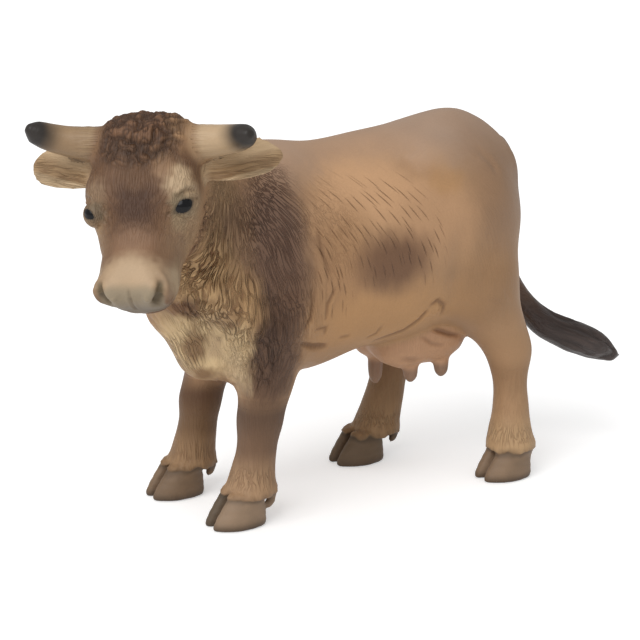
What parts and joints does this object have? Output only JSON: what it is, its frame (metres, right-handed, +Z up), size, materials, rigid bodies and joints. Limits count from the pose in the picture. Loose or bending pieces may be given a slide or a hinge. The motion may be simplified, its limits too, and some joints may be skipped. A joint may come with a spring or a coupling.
{
  "type": "toy farm animal figure",
  "caption": "Standing toy cow figure in painted solid plastic, with turned head, short horns, open ears, udder, cloven hooves and a tail that swings out behind.",
  "frame": {"origin": "on the ground, under the middle of the figure's bounding box", "axes": "+Z up, the cow faces -X with its tail to +X, its left side is -Y"},
  "size_m": [0.1358, 0.0498, 0.0827],
  "materials": {
    "painted_hide": "tan and grey-brown sprayed paint with darker washes in the hair, semi-matt",
    "painted_face": "brown face paint fading to a cream muzzle and grey nose, semi-matt",
    "painted_horn": "cream paint with black sprayed tips, semi-matt",
    "painted_ear": "cream paint with brown streaks inside, semi-matt",
    "black_eye": "black gloss",
    "painted_leg": "brown sprayed paint, taupe hooves that darken to the sole, semi-matt",
    "painted_udder": "pinkish tan paint with grey-lilac teats, semi-matt",
    "painted_tail": "brown paint fading to a near-black switch, semi-matt"
  },
  "bodies": {
    "root": {"trunk": "painted_hide", "head": "painted_face", "left_horn": "painted_horn", "right_horn": "painted_horn", "left_ear": "painted_ear", "right_ear": "painted_ear", "left_eye": "black_eye", "right_eye": "black_eye", "front_left_leg": "painted_leg", "front_right_leg": "painted_leg", "hind_left_leg": "painted_leg", "hind_right_leg": "painted_leg", "udder": "painted_udder", "tail": "painted_tail"}
  },
  "joints": []
}
